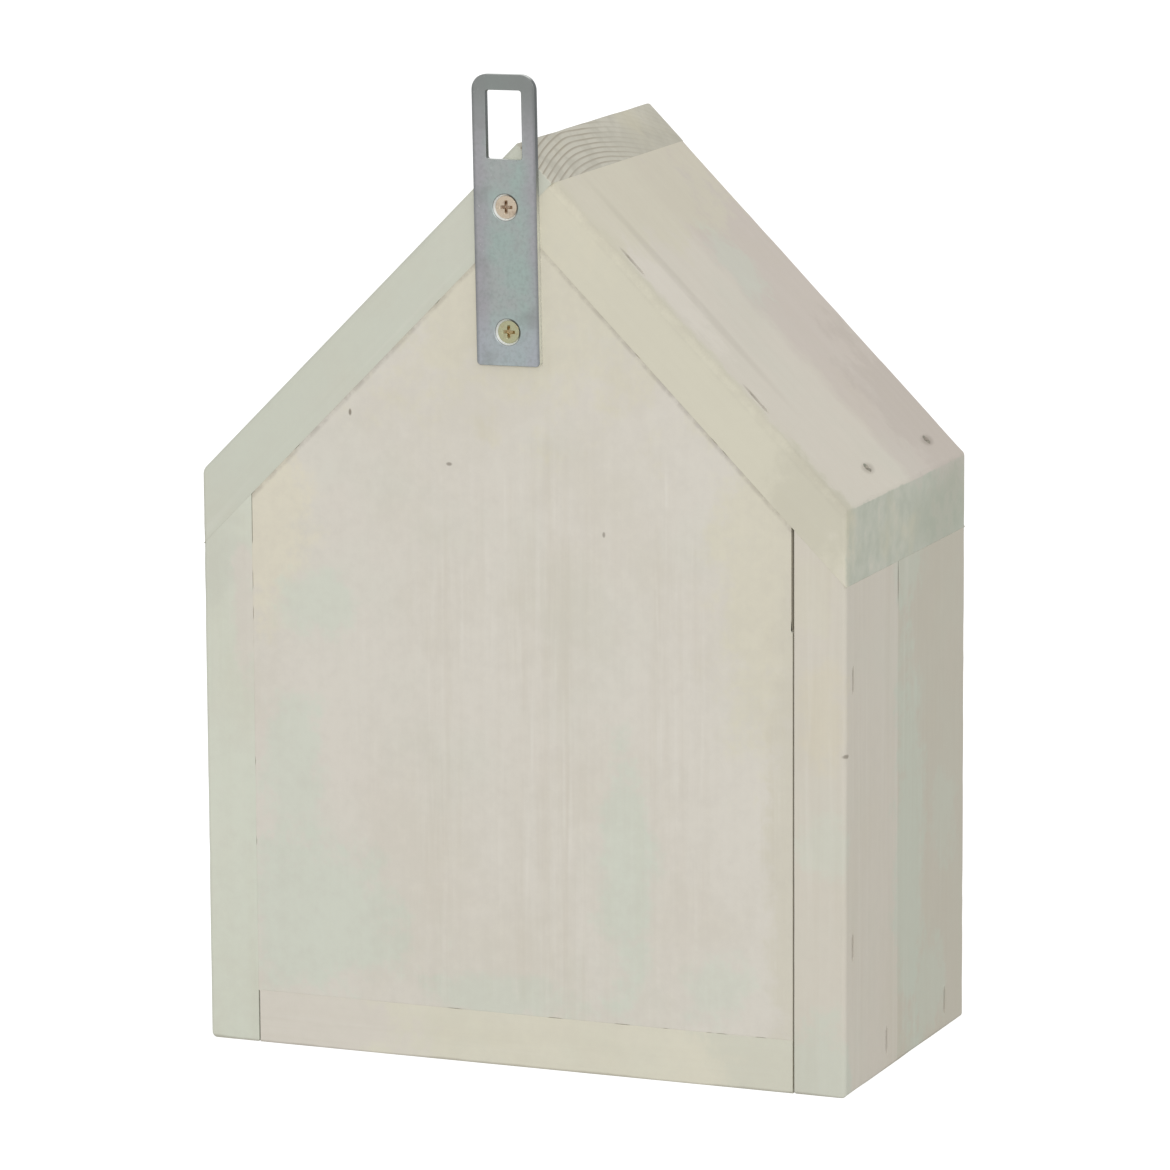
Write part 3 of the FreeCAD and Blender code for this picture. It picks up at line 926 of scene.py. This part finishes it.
def zinc_plated(name):
    """Zinc plating: grey with a green cast in the middle and a lilac one at the sides, darker at the top and
    bluish at the foot, with fine scratches along the strip, painted shade on its edges, a painted highlight
    on its upward faces and lower flanks, and a painted highlight and painted shade in each countersink."""
    material, tree, shader = new_finish(name)
    spot = add(tree, "TexCoord")
    here = spot.outputs["Object"]
    clouds = blotches(tree, here, clouds_per_metre, 5, 0.6).outputs["Color"]
    cloud = add(tree, "SeparateColor", {"Color": clouds})
    place = add(tree, "SeparateXYZ", {0: here})
    above = reckon(tree, "SUBTRACT", place.outputs["Z"], (plate_low.z + plate_high.z) / 2)
    across = reckon(tree, "SUBTRACT", place.outputs["X"], plate_middle)
    off_middle = reckon(tree, "ABSOLUTE", reckon(tree, "MULTIPLY_ADD", above, -plate_lean, across))
    ragged = reckon(tree, "MULTIPLY_ADD", cloud.outputs["Red"], side_fray, off_middle)
    sideward = spread(tree, ragged, plate_half * 0.85, plate_half * 1.4)
    upward = spread(tree, place.outputs["Z"], top_dark_from, top_dark_full)
    colour = tinge(tree, zinc_grey, zinc_green, cloud.outputs["Green"], 0.4, 0.62)
    colour = blend(tree, reckon(tree, "MULTIPLY", sideward, 0.8), colour, zinc_lilac)
    colour = blend(tree, reckon(tree, "MULTIPLY", upward, 0.9), colour, zinc_dark)
    colour = tinge(tree, colour, zinc_blue, place.outputs["Z"], foot_blue_from, foot_blue_full, 0.45)
    colour = tinge(tree, colour, zinc_dark, cloud.outputs["Blue"], 0.5, 0.72, 0.5)
    crystals = blotches(tree, here, crystals_per_metre, 2, 0.6).outputs["Fac"]
    colour = tinge(tree, colour, zinc_dark, crystals, 0.4, 0.75, 0.3)
    slanted = reckon_vector(tree, "MULTIPLY", here, (1, 1, 0.4))
    scuffs = blotches(tree, slanted, scuffs_per_metre, 2, 0.5).outputs["Fac"]
    handled = spread(tree, cloud.outputs["Red"], 0.5, 0.62)
    scuffed = reckon(tree, "MULTIPLY", spread(tree, scuffs, 0.66, 0.74, 0.0, 0.55), handled)
    colour = blend(tree, scuffed, colour, zinc_scuffs_and_highlight)
    # Painted shade along the side borders of the face
    colour = tinge(tree, colour, painted_edge_shade, off_middle, plate_half * 0.88, plate_half, 0.5)
    turned = add(tree, "SeparateXYZ", {0: spot.outputs["Normal"]})
    facing = reckon(tree, "ABSOLUTE", turned.outputs["Y"])
    # Painted shade on the rounded edges
    colour = tinge(tree, colour, painted_edge_shade, facing, 0.97, 0.8, 0.8)
    # Painted highlight on the upward faces, such as the foot of the slot
    colour = tinge(tree, colour, zinc_scuffs_and_highlight, turned.outputs["Z"], 0.6, 0.9)
    # The lower flanks show bare cut steel with a painted highlight
    flank = spread(tree, facing, 0.5, 0.2)
    lower_flank_highlight = spread(tree, place.outputs["Z"], flank_highlight_from, flank_highlight_full)
    colour = blend(tree, reckon(tree, "MULTIPLY", flank, lower_flank_highlight), colour, cut_steel_and_highlight)
    # Each countersink ring: a painted highlight on one side, painted shade on the other
    for screw in screw_spots:
        offset = reckon_vector(tree, "SUBTRACT", here, screw)
        level = reckon_vector(tree, "MULTIPLY", offset, (1, 0, 1))
        distance = reckon_vector(tree, "LENGTH", level)
        toward_painted_shade = reckon_vector(tree, "DOT_PRODUCT", level, painted_shade_way)
        cut = tinge(tree, cut_steel_and_highlight, painted_countersink_shade, toward_painted_shade, 0.3 * countersink, 0.75 * countersink)
        colour = tinge(tree, colour, cut, distance, countersink, countersink - countersink_rim)
    tree.links.new(colour, shader.inputs["Base Color"])
    drawn = reckon_vector(tree, "MULTIPLY", here, (1, 1, 0.06))
    scratch = blotches(tree, drawn, scratches_per_metre, 3, 0.7).outputs["Fac"]
    dull = spread(tree, cloud.outputs["Blue"], 0.35, 0.65, 0.26, 0.4)
    tree.links.new(reckon(tree, "MULTIPLY_ADD", scratch, 0.25, dull), shader.inputs["Roughness"])
    shader.inputs["Metallic"].default_value = 1.0
    dents = blotches(tree, here, dents_per_metre, 3, 0.6).outputs["Fac"]
    bump = add(tree, "Bump", {"Strength": 0.2, "Distance": dent_depth, "Height": dents})
    tree.links.new(bump.outputs["Normal"], shader.inputs["Normal"])
    return material


plate_mesh = softened("hanger_plate", "hanger", plate_edge)
zinc = zinc_plated("zinc_plating")
set_in_house("hanger", plate_mesh, zinc, "hanger_plate", smooth_below=50)

# Hanger screws. Two countersunk cross-recess screws from different boxes: the upper one coppery, the lower
# one yellow-passivated, both with painted shade in their driver recesses.
screw_edge = 0.1 * mm
recess_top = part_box("hanger_screw_upper")[1].y - 0.15 * mm
copper_light = paint(226, 210, 188)
copper_brown = paint(152, 126, 104)
yellow_light = paint(200, 200, 164)
yellow_brown = paint(186, 150, 106)
copper = metal("copper_screw", copper_light, copper_brown, roughness=0.36, scale=420, hollow=recess_top)
brass = metal("yellow_screw", yellow_light, yellow_brown, roughness=0.34, scale=420, hollow=recess_top)
upper_screw = softened("hanger_screw_upper", "screw_upper", screw_edge)
lower_screw = softened("hanger_screw_lower", "screw_lower", screw_edge)
set_in_house("screw_upper", upper_screw, copper, "hanger_screw_upper")
set_in_house("screw_lower", lower_screw, brass, "hanger_screw_lower")

# Bamboo canes. Short lengths of dried bamboo in several thicknesses, sawn square and packed loose into the
# front of the house. Each has its own colour, a slightly oval wall and often a joint along its length.
cane_sides = 28
bore_sides = 20
cane_steps = 9
sawn_rim = 0.25 * mm
saw_fray = 0.1 * mm
fray_grain = 1.1 * mm
end_shares = (0.0, 0.35, 0.7, 1.0)
bore_wave = 14 * mm
joint_chance = 0.6
joint_from_front = 18 * mm
joint_from_back = 8 * mm
no_joint = 300 * mm
groove_depth = 0.3 * mm
groove_from_joint = 1.6 * mm
groove_half = 0.9 * mm
waist_depth = 0.15 * mm
joint_swell = 6 * mm
joint_steps = (-4, -2.6, -1.6, -0.7, 0, 0.7, 1.6, 2.6, 4)
joint_wall = ((-1.2, 0.55), (-0.6, 1.02), (0.6, 1.02), (1.2, 0.55))
bloom_from = 7 * mm
bloom_full = 2 * mm
brown_from = 1.9 * mm
brown_full = 0.9 * mm
cane_streaks_per_metre = 700
cane_clouds_per_metre = 90
fibre_bundles_per_metre = 1300
streak_height = 0.1 * mm
straw = paint(206, 180, 122)
tan = paint(184, 148, 92)
green_straw = paint(184, 174, 114)
joint_brown = paint(128, 94, 56)
joint_bloom = paint(220, 208, 174)
sawn_straw = paint(226, 206, 158)
fibre_brown = paint(150, 116, 70)
bore_tan = paint(170, 138, 90)


def add_cane(mesh, points, seed):
    """One cane in the place of a CAD cane: an oval tube, swollen and with an inner wall where a joint is."""
    dice = random.Random(seed)
    marks = {name: mesh.verts.layers.float[name] for name in ("radial", "tint", "from_joint")}
    low, high = points.min(axis=0), points.max(axis=0)
    middle = (low + high) / 2
    radius = (high[0] - low[0]) / 2
    bore = np.hypot(points[:, 0] - middle[0], points[:, 2] - middle[2]).min()
    start, stop = low[1], high[1]
    tint = dice.random()
    oval = dice.uniform(0.01, 0.05)
    lean = dice.uniform(0, math.pi)
    bore_oval = dice.uniform(0.02, 0.1)
    bore_lean = dice.uniform(0, math.pi)
    shift = (dice.uniform(-0.04, 0.04) * radius, dice.uniform(-0.04, 0.04) * radius)
    has_joint = dice.random() < joint_chance
    joint_at = stop + no_joint
    if has_joint:
        joint_at = dice.uniform(start + joint_from_front, stop - joint_from_back)

    def outer(turn, along):
        away = abs(along - joint_at)
        groove = groove_depth * math.exp(-((away - groove_from_joint) / groove_half) ** 2)
        waist = waist_depth * (1 - math.exp(-(away / joint_swell) ** 2))
        return radius * (1 - oval * (0.5 + 0.5 * math.cos(2 * (turn - lean)))) - groove - waist

    def inner(turn, along):
        uneven = 0.05 * noise.noise(Vector((math.cos(turn) + 7 * seed, math.sin(turn), along / bore_wave)))
        return bore * (1 - bore_oval * (0.5 + 0.5 * math.cos(2 * (turn - bore_lean))) + uneven)

    def ring(sides, along, reach, radial, shifted=0.0, ragged=0.0):
        made = []
        for side in range(sides):
            turn = 2 * math.pi * side / sides
            length = reach(turn, along)
            x = middle[0] + length * math.cos(turn) + shift[0] * shifted
            z = middle[2] + length * math.sin(turn) + shift[1] * shifted
            y = along + ragged * (1 + noise.noise(Vector((x, seed, z)) / fray_grain))
            vertex = mesh.verts.new((x, y, z))
            vertex[marks["radial"]] = radial
            vertex[marks["tint"]] = tint
            vertex[marks["from_joint"]] = abs(along - joint_at)
            made.append(vertex)
        return made

    def end_rings(at, inward):
        """The sawn end from the rind to the bore, on the sides of the outer wall."""
        rings = []
        for share in end_shares:
            def between(turn, along, share=share):
                return (outer(turn, at) - sawn_rim) * (1 - share) + inner(turn, at) * share
            rings.append(ring(cane_sides, at, between, 1 - share, share, saw_fray * inward))
        return rings

    margin = sawn_rim + saw_fray
    run = stop - start - 2 * margin
    steps = [start + margin + run * step / cane_steps for step in range(cane_steps + 1)]
    if has_joint:
        steps += [joint_at + offset * mm for offset in joint_steps]
    steps = sorted(step for step in steps if start < step < stop)
    outside = [ring(cane_sides, along, outer, 1.0) for along in steps]
    inside = [ring(cane_sides, along, inner, 0.0, 1.0) for along in steps[::-1]]
    near_end = end_rings(start, 1)
    far_end = end_rings(stop, -1)
    skin(mesh, near_end[::-1] + outside + far_end + inside + near_end[-1:], capped=False)
    if has_joint:
        wall = []
        for offset, share in joint_wall:
            def across(turn, along, share=share):
                return inner(turn, along) * share
            wall.append(ring(bore_sides, joint_at + offset * mm, across, 0.2, 1.0))
        skin(mesh, wall)


def bamboo(name):
    """Dried bamboo: a waxy streaked skin, brown at the joints, and pale sawn ends dotted with fibres."""
    material, tree, shader = new_finish(name)
    spot = add(tree, "TexCoord")
    here = spot.outputs["Object"]
    radial = add(tree, "Attribute", attribute_name="radial").outputs["Fac"]
    tint = add(tree, "Attribute", attribute_name="tint").outputs["Fac"]
    from_joint = add(tree, "Attribute", attribute_name="from_joint").outputs["Fac"]
    drawn = reckon_vector(tree, "MULTIPLY", here, (1, 0.03, 1))
    streak = blotches(tree, drawn, cane_streaks_per_metre, 4, 0.6).outputs["Fac"]
    cloud = blotches(tree, here, cane_clouds_per_metre, 3, 0.6).outputs["Fac"]
    rind = tinge(tree, straw, tan, tint, 0.3, 0.95)
    rind = tinge(tree, rind, green_straw, tint, 0.3, 0.05, 0.8)
    rind = tinge(tree, rind, tan, streak, 0.45, 0.75, 0.45)
    rind = tinge(tree, rind, fibre_brown, cloud, 0.55, 0.8, 0.4)
    rind = tinge(tree, rind, joint_bloom, from_joint, bloom_from, bloom_full, 0.7)
    rind = tinge(tree, rind, joint_brown, from_joint, brown_from, brown_full, 0.85)
    hollow = spread(tree, radial, 0.06, 0.0)
    side = blend(tree, hollow, rind, blend(tree, streak, bore_tan, fibre_brown))
    across = reckon_vector(tree, "MULTIPLY", here, (1, 0, 1))
    bundles = add(tree, "TexVoronoi", {"Vector": across, "Scale": fibre_bundles_per_metre})
    dot_size = spread(tree, radial, 0.0, 1.0, 0.22, 0.5)
    dots = reckon(tree, "LESS_THAN", bundles.outputs["Distance"], dot_size)
    sawn = blend(tree, reckon(tree, "MULTIPLY", dots, 0.55), sawn_straw, fibre_brown)
    sawn = tinge(tree, sawn, fibre_brown, radial, 0.8, 1.0, 0.6)
    sawn = tinge(tree, sawn, tan, tint, 0.2, 1.0, 0.35)
    facing = reckon(tree, "ABSOLUTE", add(tree, "SeparateXYZ", {0: spot.outputs["Normal"]}).outputs["Y"])
    end_on = spread(tree, facing, 0.5, 0.8)
    tree.links.new(blend(tree, end_on, side, sawn), shader.inputs["Base Color"])
    dull = reckon(tree, "MAXIMUM", end_on, hollow)
    tree.links.new(spread(tree, dull, 0.0, 1.0, 0.38, 0.85), shader.inputs["Roughness"])
    shader.inputs["Specular IOR Level"].default_value = 0.4
    bump = add(tree, "Bump", {"Strength": 0.3, "Distance": streak_height, "Height": streak})
    tree.links.new(bump.outputs["Normal"], shader.inputs["Normal"])
    return material


cane_skin = bamboo("dried_bamboo")
cane_number = 0
for node in sorted(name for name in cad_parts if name.startswith("bamboo_canes")):
    bundle = bmesh.new()
    for mark in ("radial", "tint", "from_joint"):
        bundle.verts.layers.float.new(mark)
    for points in solids_of(node):
        cane_number += 1
        add_cane(bundle, points, cane_number)
    cane_mesh = finished(bundle, node + "_made")
    set_in_house(node + "_made", cane_mesh, cane_skin, node, "canes", smooth_below=50)

# Studio floor and light. A sheet of white paper that runs out of sight, a soft light beside the camera, and
# an even bright surround. Paper and surround show as plain white.
floor_half = 6.0
floor_mesh = bpy.data.meshes.new("floor")
floor_corners = [(-floor_half, -floor_half, 0), (floor_half, -floor_half, 0)]
floor_corners += [(floor_half, floor_half, 0), (-floor_half, floor_half, 0)]
floor_mesh.from_pydata(floor_corners, [], [(0, 1, 2, 3)])
floor = bpy.data.objects.new("floor", floor_mesh)
bpy.context.scene.collection.objects.link(floor)
paper, paper_tree, paper_shader = new_finish("white_paper")
paper_seen = add(paper_tree, "LightPath").outputs["Is Camera Ray"]
paper_light = 0.43
paper_white = 0.95
paper_glow = spread(paper_tree, paper_seen, 0.0, 1.0, paper_light, paper_white)
paper_tree.links.new(paper_glow, paper_shader.inputs["Emission Strength"])
paper_shader.inputs["Emission Color"].default_value = (1, 1, 1, 1)
paper_shader.inputs["Base Color"].default_value = (0.2, 0.2, 0.2, 1)
paper_shader.inputs["Roughness"].default_value = 0.9
floor_mesh.materials.append(paper)

world = bpy.data.worlds.new("surround")
world.use_nodes = True
surround = world.node_tree.nodes["Background"]
surround_light = 0.776
seen_directly = add(world.node_tree, "LightPath").outputs["Is Camera Ray"]
surround_glow = spread(world.node_tree, seen_directly, 0.0, 1.0, surround_light, 1.0)
world.node_tree.links.new(surround_glow, surround.inputs["Strength"])
surround.inputs["Color"].default_value = (1, 1, 1, 1)
bpy.context.scene.world = world

key_data = bpy.data.lights.new("key", "AREA")
key_data.shape = "DISK"
key_data.size = 0.9
key_data.energy = 17.4
key = bpy.data.objects.new("key", key_data)
bpy.context.scene.collection.objects.link(key)
key_aim = Vector((0, 0, 0.13))
key_offset = Vector((-0.94, 2.315, 0.717))
key.location = key_aim + key_offset
key.rotation_euler = (key_aim - key.location).to_track_quat("-Z", "Y").to_euler()

# Camera. Behind the house, a little to one side and above, far off with a long lens, as the photograph was
# taken.
camera_data = bpy.data.cameras.new("camera")
camera_data.sensor_width = 36
camera_data.lens = 216.47
camera = bpy.data.objects.new("camera", camera_data)
bpy.context.scene.collection.objects.link(camera)
camera_turn = math.radians(202.13)
camera_lift = math.radians(10.81)
camera_roll = math.radians(-0.33)
camera_distance = 2.0718
camera_target = Vector((0.44 * mm, 0, 133.82 * mm))
level = math.cos(camera_lift)
away = Vector((math.sin(camera_turn) * level, -math.cos(camera_turn) * level, math.sin(camera_lift)))
rightward = Vector((0, 0, 1)).cross(away).normalized()
upward = away.cross(rightward)
leaned_right = rightward * math.cos(camera_roll) + upward * math.sin(camera_roll)
leaned_up = upward * math.cos(camera_roll) - rightward * math.sin(camera_roll)
stance = Matrix((leaned_right, leaned_up, away)).transposed().to_4x4()
stance.translation = camera_target + away * camera_distance
camera.matrix_world = stance
bpy.context.scene.camera = camera
bpy.context.scene.view_settings.view_transform = "Standard"
